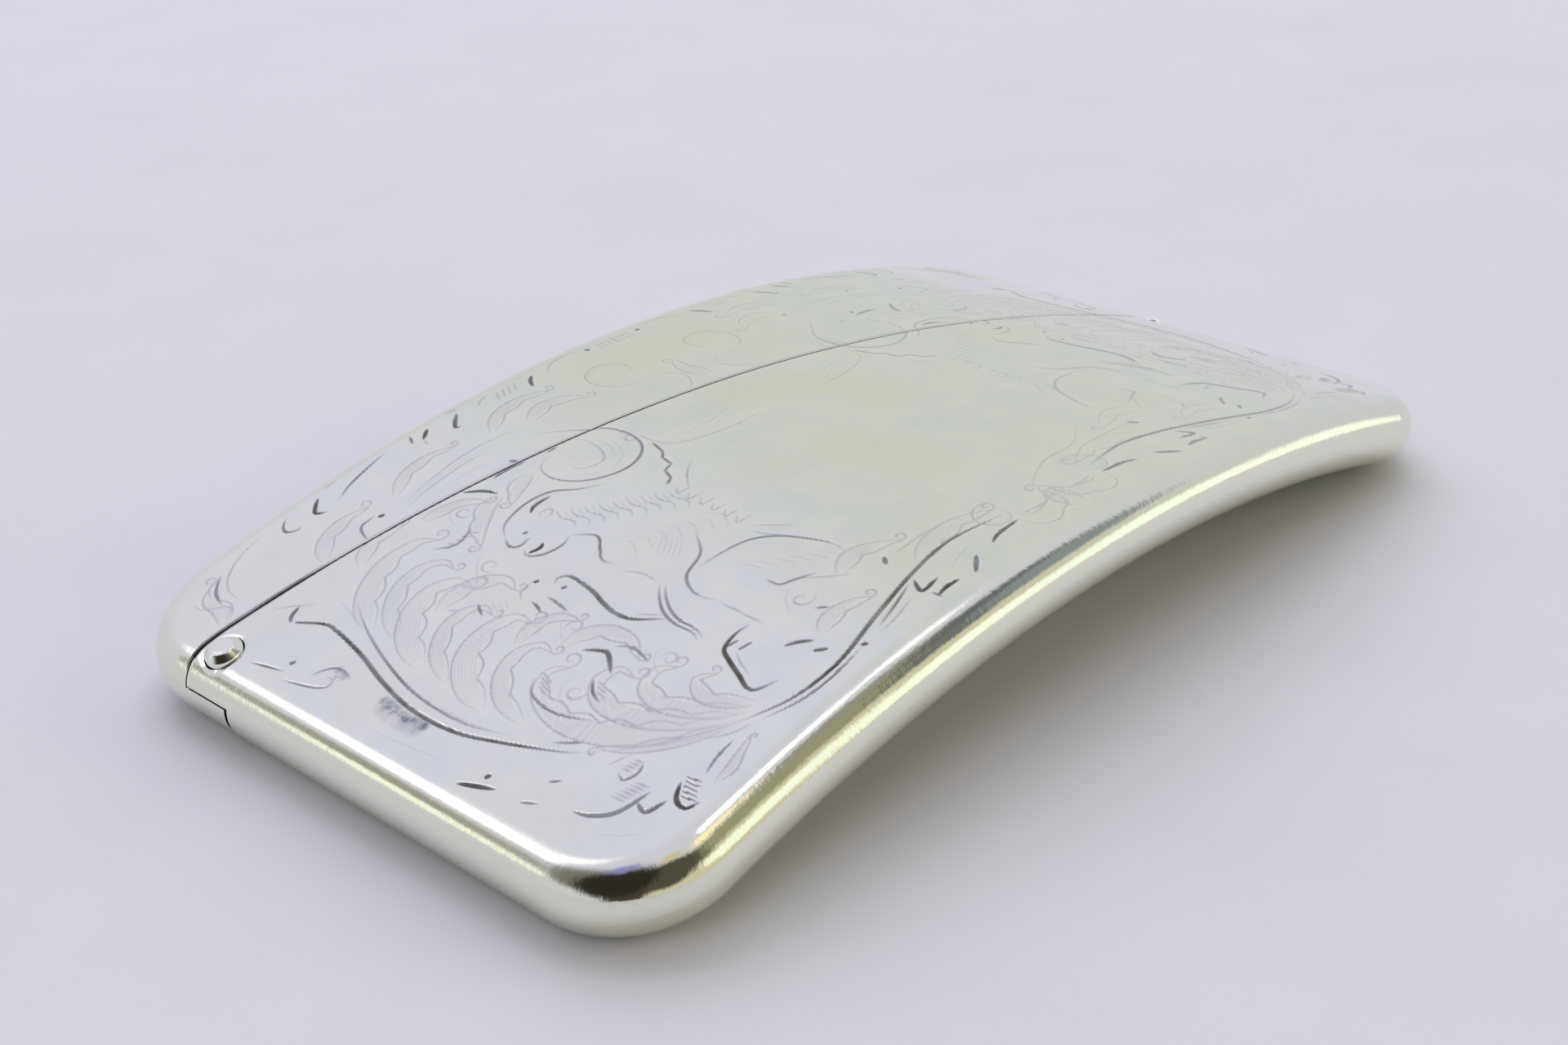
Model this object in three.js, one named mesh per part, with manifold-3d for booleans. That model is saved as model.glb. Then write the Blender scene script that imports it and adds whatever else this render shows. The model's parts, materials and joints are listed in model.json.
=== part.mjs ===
// A curved silver card case. Two thin half shells make the body, two more make a lid that is cut off
// along a diagonal. The lid swings about a small barrel hinge at its wide end, and a push button
// on a leaf spring holds its narrow end shut.
//
// Flat coordinates: x runs along the case, y across it and h through its thickness, all from the
// centre of the case before it is bent. bend() curls x around an axis parallel to y.
import * as THREE from 'three';
import Module from 'manifold-3d';
import { mergeVertices } from 'three/addons/utils/BufferGeometryUtils.js';

const wasm = await Module();
wasm.setup();

// Driving dimensions, in millimetres.
const LENGTH = 92; // along the bent middle surface
const WIDTH = 52.6;
const THICKNESS = 5.7;
const BEND_RADIUS = 139; // of the middle surface
const CORNER_RADIUS = 8;
const SHEET = 0.45;
const SOLDER_GAP = 0.02; // between the front and back halves
const STATIONS = 20; // straight steps along each long side
const CORNER_STEPS = 5;
const REST_HALF_ANGLE = 9; // degrees of the rounded edge that each flat rest strip takes up

// The seam, as distances from the lid's long edge.
const SEAM_NEAR = 8.3;
const SEAM_FAR = 23.8;
const SEAM_HOOK = 0.9; // extra drop of the front seam at the narrow end
const HOOK_LENGTH = 5;
const SEAM_GAP = 0.14;
const LAP_NEAR = 13.5; // the back seam starts lower, so that the lid's wall laps under the body's
const LAP_TOP = 1.2; // h of the step in the end wall
const LAP_GAP = 0.3;

const HINGE_STANDOFF = 0.15; // hinge axis outside the end wall
const KNUCKLE_RADIUS = 0.75;
const KNUCKLE_BORE = 0.34;
const PIN_RADIUS = 0.3;
const KNUCKLE_LENGTH = 1.1;
const KNUCKLE_GAP = 0.05;

const LIP_SHEET = 0.25;
const LIP_CLEARANCE = 0.1;
const LIP_RISE = 1.8; // how far the lips stand up into the lid
const LIP_DEPTH = 2.6; // how far they reach down into the body

const BUTTON_RADIUS = 1.3;
const BUTTON_HOLE = 1.45;
const BUTTON_RISE = 0.75; // top of the dome over the face
const BUTTON_INSET = 3.1; // from the short end
const BUTTON_FROM_SEAM = 1.95;
const LEAF_SHEET = 0.3;
const LEAF_WIDTH = 3;
const LEAF_TOP = 1.95;
const LEAF_ROOT = 20; // from the short end
const RIVET_RADIUS = 0.45;
const RIVET_BACK = 2; // from the leaf's root end
const LEAF_PLAY = 0.15; // room for the leaf to tip on its rivets
const ARM_LOW = 0.75; // the tooth's arm, and where its nose and the striker end, as h
const ARM_TOP = 1.1;
const NOSE_TOP = 1.75;
const STRIKER_LOW = 1.42;

const halfLength = LENGTH / 2;
const halfWidth = WIDTH / 2;
const halfThickness = THICKNESS / 2;
const endAngle = (halfLength - halfThickness) / BEND_RADIUS;
const range = (count) => Array.from({ length: count }, (_, i) => i);
const steps = (from, to, count) => range(count + 1).map((i) => from + ((to - from) * i) / count);

// Curls a flat point around the bend. Z is measured from the lowest line of the rounded ends.
function bend(x, y, h) {
  const angle = x / BEND_RADIUS;
  const radius = BEND_RADIUS + h;
  const floor = BEND_RADIUS * Math.cos(endAngle) - halfThickness;
  return [radius * Math.sin(angle), y, radius * Math.cos(angle) - floor];
}

// Makes a closed solid by lofting rings of points and closing both ends with strips of quads.
// mate[i] is the point of a ring that lies straight across from point i.
function loft(rings, mate) {
  const size = rings[0].length;
  const positions = rings.flat(2);
  const index = [];
  const quad = (a, b, c, d) => index.push(a, b, c, a, c, d);
  for (const k of range(rings.length - 1)) {
    for (const i of range(size)) {
      const next = (i + 1) % size;
      quad(k * size + i, k * size + next, (k + 1) * size + next, (k + 1) * size + i);
    }
  }
  const last = (rings.length - 1) * size;
  for (const i of range(size / 2 - 1)) {
    const [a, b, c, d] = [i, i + 1, mate[i + 1], mate[i]];
    quad(d, c, b, a);
    quad(last + a, last + b, last + c, last + d);
  }
  return toSolid(positions, index);
}

function toSolid(positions, index) {
  const mesh = new wasm.Mesh({
    numProp: 3,
    vertProperties: new Float32Array(positions),
    triVerts: new Uint32Array(index),
  });
  return new wasm.Manifold(mesh);
}

function solidOf(geometry) {
  const bare = geometry.clone();
  bare.deleteAttribute('normal');
  bare.deleteAttribute('uv');
  const merged = mergeVertices(bare, 1e-4);
  return toSolid(merged.attributes.position.array, merged.index.array);
}

function geometryOf(solid) {
  const mesh = solid.getMesh();
  const geometry = new THREE.BufferGeometry();
  geometry.setAttribute('position', new THREE.BufferAttribute(mesh.vertProperties, 3));
  geometry.setIndex(new THREE.BufferAttribute(mesh.triVerts, 1));
  geometry.computeVertexNormals();
  return geometry;
}

// One half of the case's outline, from the middle of the left end to the middle of the right one,
// moved in by inset. The other half is its mirror, so each point has a mate straight across.
function lowerOutline(inset) {
  const radius = CORNER_RADIUS - inset;
  const endX = halfLength - CORNER_RADIUS;
  const sideY = halfWidth - CORNER_RADIUS;
  const corner = (sign, from, to) =>
    steps(from, to, CORNER_STEPS).map((a) => [
      sign * endX + radius * Math.cos(a),
      -sideY + radius * Math.sin(a),
    ]);
  const left = corner(-1, Math.PI, 1.5 * Math.PI);
  const right = corner(1, 1.5 * Math.PI, 2 * Math.PI);
  const side = steps(-endX, endX, STATIONS).slice(1, -1).map((x) => [x, -sideY - radius]);
  return [...left, ...side, ...right];
}

// The angle at which the bent edge comes back to the height that it has at angle from.
function levelWith(from, inset) {
  const height = (angle) => {
    const x = halfLength - halfThickness + (halfThickness - inset) * Math.cos(angle);
    return bend(x, 0, (halfThickness - inset) * Math.sin(angle))[2];
  };
  let [low, high] = [-Math.PI / 2, -Math.PI / 2 + endAngle];
  for (const _ of range(50)) {
    const middle = (low + high) / 2;
    if (height(middle) > height(from)) low = middle;
    else high = middle;
  }
  return low;
}

// The whole case as a solid, its surface moved in by inset. The edge is a half circle, from the
// front face round to the back one, with one facet that lies level at each end.
function caseSolid(inset) {
  const restTop = -Math.PI / 2 + endAngle + THREE.MathUtils.degToRad(REST_HALF_ANGLE);
  const angles = [
    ...steps(Math.PI / 2, 0, 6),
    ...steps(0, restTop, 4).slice(1),
    levelWith(restTop, inset),
    -Math.PI / 2,
  ];
  const radius = halfThickness - inset;
  const rings = angles.map((angle) => {
    const lower = lowerOutline(halfThickness - radius * Math.cos(angle));
    const upper = lower.map(([x, y]) => [x, -y]).reverse();
    return [...lower, ...upper].map(([x, y]) => bend(x, y, radius * Math.sin(angle)));
  });
  const size = rings[0].length;
  return loft(rings.reverse(), range(size).map((i) => size - 1 - i));
}

// A bent bar: yLow and yHigh are functions of x, hLow and hHigh are heights.
function bar(xs, yLow, yHigh, hLow, hHigh) {
  const rings = xs.map((x) => [
    bend(x, yLow(x), hLow),
    bend(x, yHigh(x), hLow),
    bend(x, yHigh(x), hHigh),
    bend(x, yLow(x), hHigh),
  ]);
  return loft(rings, [3, 2, 1, 0]);
}

// Seams as y, from distances to the lid's long edge.
function seamY(x, near, hook) {
  const along = x + halfLength;
  const turn = Math.max(0, 1 - along / HOOK_LENGTH);
  return halfWidth - near - ((SEAM_FAR - near) * along) / LENGTH - hook * turn * turn;
}
const frontSeam = (x) => seamY(x, SEAM_NEAR, SEAM_HOOK);
const backSeam = (x) => seamY(x, LAP_NEAR, 0);
const shifted = (seam, by) => (x) => seam(x) + by;
const constant = (value) => () => value;

const BEYOND = 6; // how far cutters reach past the case
const cutterXs = [
  ...steps(-halfLength - BEYOND, -halfLength + HOOK_LENGTH, 10),
  ...steps(-halfLength + HOOK_LENGTH, halfLength + BEYOND, 24).slice(1),
];
const outside = halfWidth + BEYOND;
const below = (seam, hLow, hHigh) => bar(cutterXs, constant(-outside), seam, hLow, hHigh);
const above = (seam, hLow, hHigh) => bar(cutterXs, seam, constant(outside), hLow, hHigh);

// The hinge axis is upright, just outside the right end, where the seams meet.
const hingeX = BEND_RADIUS * Math.sin(endAngle) + halfThickness + HINGE_STANDOFF;
const hingeY = halfWidth - SEAM_FAR;
const hingeZ = halfThickness;
const knucklePitch = KNUCKLE_LENGTH + KNUCKLE_GAP;

// A tube or, with no bore, a rod, upright about the hinge axis.
function hingeTube(radius, bore, length, z) {
  const half = length / 2;
  const profile = [[bore, -half], [radius, -half], [radius, half], [bore, half], [bore, -half]];
  const points = (bore > 0 ? profile : profile.slice(0, 4)).map(([r, y]) => new THREE.Vector2(r, y));
  const geometry = new THREE.LatheGeometry(points, 20);
  return geometry.rotateX(Math.PI / 2).translate(hingeX, hingeY, z);
}

// Puts a piece turned about +Y onto the case at (x, y), standing along the local thickness.
function stand(geometry, x, y) {
  geometry.rotateX(Math.PI / 2);
  geometry.translate(0, 0, BEND_RADIUS);
  geometry.rotateY(x / BEND_RADIUS);
  return geometry.translate(0, y, bend(0, 0, 0)[2] - BEND_RADIUS);
}

function turned(profile, x, y, sides) {
  const points = profile.map(([r, h]) => new THREE.Vector2(r, h));
  return stand(new THREE.LatheGeometry(points, sides), x, y);
}

const buttonX = -halfLength + BUTTON_INSET;
const buttonY = frontSeam(buttonX) - BUTTON_FROM_SEAM;

function makeShells() {
  const hollow = caseSolid(0).subtract(caseSolid(SHEET));
  const notch = solidOf(hingeTube(KNUCKLE_RADIUS + KNUCKLE_GAP, 0, 3 * knucklePitch + 0.1, hingeZ));
  const walls = hollow.subtract(notch);
  const hole = solidOf(turned([[0, 0], [BUTTON_HOLE, 0], [BUTTON_HOLE, BEYOND], [0, BEYOND]],
    buttonX, buttonY, 24));
  const half = SEAM_GAP / 2;
  const solder = SOLDER_GAP / 2;
  const top = BEYOND;
  const step = LAP_TOP + SEAM_GAP;

  const bodyFrontCut = below(shifted(backSeam, -LAP_GAP), solder, top)
    .add(below(shifted(frontSeam, -half), step, top));
  const lidBackCut = above(backSeam, -top, -solder)
    .add(bar(cutterXs, backSeam, shifted(frontSeam, half), -solder, LAP_TOP));
  return {
    body_front_shell: walls.intersect(bodyFrontCut).subtract(hole),
    body_back_shell: walls.intersect(below(shifted(backSeam, -LAP_GAP), -top, -solder)),
    lid_front_shell: walls.intersect(above(shifted(frontSeam, half), solder, top))
      .subtract(bar(cutterXs, backSeam, shifted(frontSeam, half + SOLDER_GAP), -top, LAP_TOP)),
    lid_back_shell: walls.intersect(lidBackCut),
  };
}

// A lip is a thin strip soldered inside the body's mouth, on which the closed lid seats.
function makeLip(side, seam, start) {
  const outer = side * (halfThickness - SHEET - LIP_CLEARANCE);
  const inner = outer - side * LIP_SHEET;
  const xs = steps(start, halfLength - 5, 18);
  const [low, high] = [Math.min(outer, inner), Math.max(outer, inner)];
  return bar(xs, shifted(seam, -LIP_DEPTH), shifted(seam, LIP_RISE), low, high);
}

// The catch: a leaf spring under the front shell that carries the button and the tooth.
const leafEnd = -halfLength + LEAF_ROOT;
const leafXs = steps(-halfLength + 1.6, leafEnd, 6);
const rivetX = leafEnd - RIVET_BACK;
const rivetYs = [buttonY - 0.85, buttonY + 0.85];
const anchorTop = halfThickness - SHEET - SOLDER_GAP;

// Takes both rivet holes out of a solid.
function drilled(solid, radius) {
  const profile = [[0, 0], [radius, 0], [radius, BEYOND], [0, BEYOND]];
  const holes = rivetYs.map((y) => solidOf(turned(profile, rivetX, y, 12)));
  return holes.reduce((rest, hole) => rest.subtract(hole), solid);
}

function makeLeaf() {
  const leaf = bar(leafXs, constant(buttonY - LEAF_WIDTH / 2), constant(buttonY + LEAF_WIDTH / 2),
    LEAF_TOP - LEAF_SHEET, LEAF_TOP);
  return drilled(leaf, RIVET_RADIUS + LEAF_PLAY);
}

// The pad that spaces the leaf's root from the shell.
function makeAnchor() {
  const xs = steps(rivetX - 1.2, leafEnd, 2);
  const [low, high] = [buttonY - 1.8, buttonY + 1.8];
  const pad = bar(xs, constant(low), constant(high), LEAF_TOP + LEAF_PLAY, anchorTop);
  return drilled(pad, RIVET_RADIUS + SOLDER_GAP);
}

function makeRivet(y) {
  const head = LEAF_TOP - LEAF_SHEET - LEAF_PLAY;
  const profile = [[0, head - 0.35], [0.5, head - 0.3], [0.75, head], [RIVET_RADIUS, head],
    [RIVET_RADIUS, anchorTop], [0, anchorTop]];
  return turned(profile, rivetX, y, 12);
}

function makeButton() {
  const shoulder = halfThickness + 0.2;
  const rise = halfThickness + BUTTON_RISE - shoulder;
  const dome = steps(0, Math.PI / 2, 5).map((a) => [
    BUTTON_RADIUS * Math.cos(a),
    shoulder + rise * Math.sin(a),
  ]);
  dome[dome.length - 1][0] = 0;
  const stem = LEAF_TOP + SOLDER_GAP;
  return turned([[0, stem], [BUTTON_RADIUS, stem], ...dome], buttonX, buttonY, 24);
}

// The tooth hangs under the leaf, reaches through the mouth and turns up behind the striker.
const toothX = [buttonX + 2.4, buttonX + 4.8];
const toothSeam = frontSeam(toothX[0]);
const nose = [toothSeam + 1.2, toothSeam + 1.75];

function makeTooth() {
  const [root, riser] = [buttonY - 1, buttonY + 0.8];
  const leafUnder = LEAF_TOP - LEAF_SHEET - SOLDER_GAP;
  const parts = [
    [root, riser, ARM_LOW, leafUnder],
    [root, nose[1], ARM_LOW, ARM_TOP],
    [nose[0], nose[1], ARM_LOW, NOSE_TOP],
  ].map(([y0, y1, h0, h1]) => bar(toothX, constant(y0), constant(y1), h0, h1));
  return parts.reduce((sum, piece) => sum.add(piece));
}

// The striker is a bar soldered across the inside of the lid's front shell.
function makeStriker() {
  const xs = [toothX[0] - 1, toothX[1] + 1];
  return bar(xs, constant(nose[0] - 0.75), constant(nose[0] - 0.15), STRIKER_LOW, anchorTop);
}

const silver = (name, colour = 0xe9e8e0, roughness = 0.16) => {
  const material = new THREE.MeshStandardMaterial({ color: colour, roughness, metalness: 1 });
  material.name = name;
  return material;
};
const polished = silver('polished_silver');
const plain = silver('inner_silver', 0xdad8cf, 0.3);
const steel = silver('spring_steel', 0x8f9498, 0.35);

function addTo(group, name, shape, material) {
  const geometry = shape.isBufferGeometry ? shape : geometryOf(shape);
  const mesh = new THREE.Mesh(geometry, material);
  mesh.name = name;
  group.add(mesh);
}

const body = new THREE.Group();
const lid = new THREE.Group();
const catchGroup = new THREE.Group();
const shells = makeShells();
addTo(body, 'body_front_shell', shells.body_front_shell, polished);
addTo(body, 'body_back_shell', shells.body_back_shell, polished);
addTo(lid, 'lid_front_shell', shells.lid_front_shell, polished);
addTo(lid, 'lid_back_shell', shells.lid_back_shell, polished);
addTo(body, 'mouth_lip_front', makeLip(1, frontSeam, leafEnd + 1), plain);
addTo(body, 'mouth_lip_back', makeLip(-1, shifted(backSeam, -LAP_GAP), -halfLength + 6), plain);

const knuckle = (level) => hingeTube(KNUCKLE_RADIUS, KNUCKLE_BORE, KNUCKLE_LENGTH,
  hingeZ + level * knucklePitch);
addTo(body, 'hinge_knuckle_upper', knuckle(1), polished);
addTo(lid, 'hinge_knuckle_lid', knuckle(0), polished);
addTo(body, 'hinge_knuckle_lower', knuckle(-1), polished);
addTo(body, 'hinge_pin', hingeTube(PIN_RADIUS, 0, 3 * knucklePitch, hingeZ), steel);

addTo(body, 'catch_anchor', makeAnchor(), plain);
addTo(body, 'catch_rivet_1', makeRivet(rivetYs[0]), plain);
addTo(body, 'catch_rivet_2', makeRivet(rivetYs[1]), plain);
addTo(catchGroup, 'catch_leaf', makeLeaf(), steel);
addTo(catchGroup, 'catch_tooth', makeTooth(), plain);
addTo(catchGroup, 'push_button', makeButton(), polished);
addTo(lid, 'lid_striker', makeStriker(), plain);

const model = new THREE.Group();
model.add(body, lid, catchGroup);
const box = new THREE.Box3().setFromObject(model);
model.position.set(-(box.min.x + box.max.x) / 2, 0, -box.min.z);
model.updateMatrixWorld(true);

export default model;
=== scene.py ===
"""A curved, engraved silver card case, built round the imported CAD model.

Flat coordinates, in millimetres, are those of the case before it was bent: x along it, y across it
and h through its thickness, all from its centre. bend() turns them into the row frame, in metres.
The pattern's own coordinates, also in millimetres, are u from the button's end and v from the lid's
long edge.
"""

import json
import math

import bpy
import numpy as np
from mathutils import Matrix, Vector


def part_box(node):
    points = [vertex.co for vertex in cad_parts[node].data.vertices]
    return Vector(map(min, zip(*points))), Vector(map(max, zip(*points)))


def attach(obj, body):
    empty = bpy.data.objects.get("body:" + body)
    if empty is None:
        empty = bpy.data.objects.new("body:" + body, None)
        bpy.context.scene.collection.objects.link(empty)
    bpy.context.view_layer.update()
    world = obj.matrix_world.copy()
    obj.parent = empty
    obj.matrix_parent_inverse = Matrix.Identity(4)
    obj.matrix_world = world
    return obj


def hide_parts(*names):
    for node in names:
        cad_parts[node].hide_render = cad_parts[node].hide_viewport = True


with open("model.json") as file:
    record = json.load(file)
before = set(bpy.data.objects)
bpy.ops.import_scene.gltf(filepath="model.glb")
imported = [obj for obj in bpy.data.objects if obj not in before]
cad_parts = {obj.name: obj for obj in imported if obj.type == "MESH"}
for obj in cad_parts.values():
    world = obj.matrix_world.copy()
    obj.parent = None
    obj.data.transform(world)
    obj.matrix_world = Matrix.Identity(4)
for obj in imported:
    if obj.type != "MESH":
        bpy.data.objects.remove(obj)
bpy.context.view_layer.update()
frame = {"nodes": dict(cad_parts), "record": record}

MM = 0.001

# The case, as in the CAD model apart from SOLDER_GAP, which is 0.02 there.
LENGTH = 92.0
WIDTH = 52.6
THICKNESS = 5.7
BEND_RADIUS = 139.0
CORNER_RADIUS = 8.0
SHEET = 0.45
SEAM_NEAR, SEAM_FAR = 8.3, 23.8  # distances of the front seam from the lid's long edge
SEAM_HOOK, HOOK_LENGTH = 0.9, 5.0
SEAM_GAP = 0.14
LAP_NEAR, LAP_TOP, LAP_GAP = 13.5, 1.2, 0.3
SOLDER_GAP = 0.002  # the soldered joint is all but closed
BUTTON_RADIUS, BUTTON_HOLE, BUTTON_RISE = 1.3, 1.45, 0.75
BUTTON_INSET, BUTTON_FROM_SEAM = 3.1, 1.95

HALF_LENGTH, HALF_WIDTH, HALF_THICKNESS = LENGTH / 2, WIDTH / 2, THICKNESS / 2
END_ANGLE = (HALF_LENGTH - HALF_THICKNESS) / BEND_RADIUS
BEYOND = 6.0  # how far cutters reach past the case

# The row frame's origin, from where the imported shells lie.
shell_low, shell_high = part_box("body_front_shell")
SHIFT_X = shell_low.x / MM + BEND_RADIUS * math.sin(END_ANGLE) + HALF_THICKNESS
SHIFT_Z = shell_high.z / MM - (BEND_RADIUS + HALF_THICKNESS)

PITCH = 0.1  # of the engraved face's mesh
EDGE_STEPS = 36  # round the half circle of the edge


def bend(x, y, h):
    """Flat millimetres to bent metres."""
    angle = np.asarray(x) / BEND_RADIUS
    radius = BEND_RADIUS + np.asarray(h)
    columns = (radius * np.sin(angle) + SHIFT_X, y + 0 * angle, radius * np.cos(angle) + SHIFT_Z)
    return np.stack(np.broadcast_arrays(*columns), -1) * MM


def unbend(points):
    """Bent metres back to flat millimetres."""
    p = points / MM - np.array((SHIFT_X, 0, SHIFT_Z))
    return (
        np.arctan2(p[:, 0], p[:, 2]) * BEND_RADIUS,
        p[:, 1],
        np.hypot(p[:, 0], p[:, 2]) - BEND_RADIUS,
    )


def seam_y(x, near, hook):
    along = np.asarray(x) + HALF_LENGTH
    turn = np.maximum(0, 1 - along / HOOK_LENGTH)
    return HALF_WIDTH - near - (SEAM_FAR - near) * along / LENGTH - hook * turn**2


def front_seam(x):
    return seam_y(x, SEAM_NEAR, SEAM_HOOK)


def back_seam(x):
    return seam_y(x, LAP_NEAR, 0)


BUTTON_X = -HALF_LENGTH + BUTTON_INSET
BUTTON_Y = float(front_seam(BUTTON_X)) - BUTTON_FROM_SEAM


# ---------------------------------------------------------------- meshes


def add(name, data):
    made = bpy.data.objects.new(name, data)
    bpy.context.scene.collection.objects.link(made)
    return made


def new_object(name, points, faces):
    mesh = bpy.data.meshes.new(name)
    mesh.from_pydata(points, [], faces)
    mesh.update()
    return add(name, mesh)


def bar(name, xs, sides):
    """A bent bar. Its section's corners are (y, h) pairs, and y may be a function of x."""
    xs = np.asarray(xs, float)
    count = len(sides)
    columns = [bend(xs, y(xs) if callable(y) else y + 0 * xs, h) for y, h in sides]
    points = np.stack(columns, 1).reshape(-1, 3)
    faces = [tuple(range(count))[::-1]]
    for k in range(len(xs) - 1):
        for i in range(count):
            a, b = count * k + i, count * k + (i + 1) % count
            faces.append((a, b, b + count, a + count))
    last = count * (len(xs) - 1)
    faces.append(tuple(range(last, last + count)))
    return new_object(name, points.tolist(), faces)


def turned(name, profile, sides, place):
    """A turned solid. The profile runs from the axis at the bottom to the axis at the top."""
    points = [(0, 0, profile[0][1])]
    inner = profile[1:-1]
    for radius, height in inner:
        for s in range(sides):
            a = 2 * math.pi * s / sides
            points.append((radius * math.cos(a), radius * math.sin(a), height))
    points.append((0, 0, profile[-1][1]))
    top, last = len(points) - 1, 1 + (len(inner) - 1) * sides
    faces = []
    for s in range(sides):
        t = (s + 1) % sides
        faces.append((0, 1 + t, 1 + s))
        faces.append((last + s, last + t, top))
        for k in range(len(inner) - 1):
            a = 1 + k * sides
            faces.append((a + s, a + t, a + sides + t, a + sides + s))
    return new_object(name, [tuple(place @ (Vector(p) * MM)) for p in points], faces)


def rod(name, radius, low, high, sides, place):
    """A plain rod to cut with."""
    return turned(name, [(0, low), (radius, low), (radius, high), (0, high)], sides, place)


def standing_at(x, y):
    """The place of a piece that stands on the bent case at (x, y). Its own z is then h."""
    foot = Vector(bend(x, y, 0).tolist())
    return Matrix.Translation(foot) @ Matrix.Rotation(x / BEND_RADIUS, 4, "Y")


def cut(target, tool, operation="DIFFERENCE"):
    modifier = target.modifiers.new("cut", "BOOLEAN")
    modifier.operation = operation
    modifier.solver = "MANIFOLD"
    modifier.object = tool
    settled = bpy.context.evaluated_depsgraph_get()
    mesh = bpy.data.meshes.new_from_object(target.evaluated_get(settled))
    target.modifiers.clear()
    target.data = mesh


def drop(*objects):
    for o in objects:
        bpy.data.objects.remove(o)


def smooth(piece, degrees=40):
    piece.data.shade_smooth()
    piece.data.set_sharp_from_angle(angle=math.radians(degrees))


# ---------------------------------------------------------------- the engraving


class Layer:
    """A height map over the flat face, into which tools are pressed."""

    def __init__(self, step, fill=1):
        self.step, self.fill = step, fill
        self.nx, self.ny = int(LENGTH / step) + 2, int(WIDTH / step) + 2
        self.depth = np.zeros((self.nx, self.ny), np.float32)
        self.waiting = []

    def press(self, x, y, half_width, depth):
        self.waiting.append(np.stack(np.broadcast_arrays(x, y, half_width, depth)))

    def settle(self, groups=6):
        """Carries out every press, those of like width together: each leaves a round-bottomed dent."""
        x, y, half_width, depth = np.concatenate(self.waiting, 1)
        order = np.argsort(half_width)
        for part in np.array_split(order, groups):
            self.dent(x[part], y[part], half_width[part], depth[part])

    def dent(self, x, y, half_width, depth):
        reach = int(half_width.max() / self.step) + 1
        ci = np.rint((x + HALF_LENGTH) / self.step).astype(int)
        cj = np.rint((y + HALF_WIDTH) / self.step).astype(int)
        flat = self.depth.ravel()
        for di in range(-reach, reach + 1):
            for dj in range(-reach, reach + 1):
                i, j = ci + di, cj + dj
                gap = np.hypot(i * self.step - HALF_LENGTH - x, j * self.step - HALF_WIDTH - y)
                share = np.minimum(self.fill * (1 - (gap / half_width) ** 2), 1)
                value = (depth * share).astype(np.float32)
                ok = (value > 0) & (i >= 0) & (i < self.nx) & (j >= 0) & (j < self.ny)
                np.maximum.at(flat, i[ok] * self.ny + j[ok], value[ok])

    def at(self, x, y):
        fi = np.clip((x + HALF_LENGTH) / self.step, 0, self.nx - 1.001)
        fj = np.clip((y + HALF_WIDTH) / self.step, 0, self.ny - 1.001)
        i, j = fi.astype(int), fj.astype(int)
        a, b = fi - i, fj - j
        d = self.depth
        low = d[i, j] * (1 - b) + d[i, j + 1] * b
        high = d[i + 1, j] * (1 - b) + d[i + 1, j + 1] * b
        return low * (1 - a) + high * a


relief = Layer(0.04)
soot = Layer(0.05, fill=2.5)  # the dirt in the cuts
tone = Layer(0.12)  # where close fine cuts take the shine off, and where a pale sheen is painted into the colour
smudge = Layer(0.12)  # blue-black tarnish
yellowing = Layer(0.25)

# Gravers: width and depth of cut.
BOLD, PLAIN, FINE, HAIR = (0.42, 0.07), (0.29, 0.046), (0.21, 0.03), (0.19, 0.018)
DOT_DEPTH = 0.06
SOOT_FROM, SOOT_OVER = 0.008, 0.047  # the depth at which dirt begins to stay, and what more fills a cut
SOOT_WIDTH = 0.95  # of the cut's

MIRROR = 45.8  # the u about which the pattern's second half mirrors the first
SPLINE_STEPS = 24  # from one given point of a curve to the next


def spline(points, step=0.05):
    """A smooth curve through a few points, evenly sampled."""
    p = np.asarray(points, float)
    p = np.vstack([2 * p[0] - p[1], p, 2 * p[-1] - p[-2]])
    t = np.linspace(0, 1, SPLINE_STEPS, endpoint=False)[:, None]
    runs = []
    for a, b, c, d in zip(p[:-3], p[1:-2], p[2:-1], p[3:]):
        square, cube = 2 * a - 5 * b + 4 * c - d, 3 * b - a - 3 * c + d
        runs.append(b + 0.5 * ((c - a) * t + square * t**2 + cube * t**3))
    curve = np.vstack([*runs, p[-2:-1]])
    run = np.concatenate([[0], np.cumsum(np.hypot(*np.diff(curve, axis=0).T))])
    at = np.linspace(0, run[-1], max(int(run[-1] / step), 2) + 1)
    return np.stack([np.interp(at, run, curve[:, 0]), np.interp(at, run, curve[:, 1])], 1)


def halves(u, both):
    """A path's places along the case: its own and, with both, those of its mirror image."""
    return (u, 2 * MIRROR - u) if both else (u,)


def press_along(layer, u, v, half_width, depth):
    """Presses a tool at pattern coordinates."""
    layer.press(u - HALF_LENGTH, HALF_WIDTH - v, half_width, depth)


def cut_path(path, tool, both=True, start=0.25, end=0.15):
    """One stroke. It swells from start to full width and thins to end."""
    width, depth = tool
    t = np.linspace(0, 1, len(path))
    swell = np.sin(np.pi * t) ** 0.5
    share = swell + (1 - swell) * (start * (1 - t) + end * t)
    half_width = width / 2 * share
    dirt = np.clip((depth * share - SOOT_FROM) / SOOT_OVER, 0, 1)
    for u in halves(path[:, 0], both):
        press_along(relief, u, path[:, 1], half_width, depth * share)
        press_along(soot, u, path[:, 1], half_width * SOOT_WIDTH, dirt)


def stroke(tool, *points, both=True, start=0.25, end=0.15):
    cut_path(spline(points), tool, both, start, end)


def dot(u, v, width=0.45, both=True):
    stroke((width, DOT_DEPTH), (u, v), (u + 0.1, v + 0.05), both=both, start=1, end=1)


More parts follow.
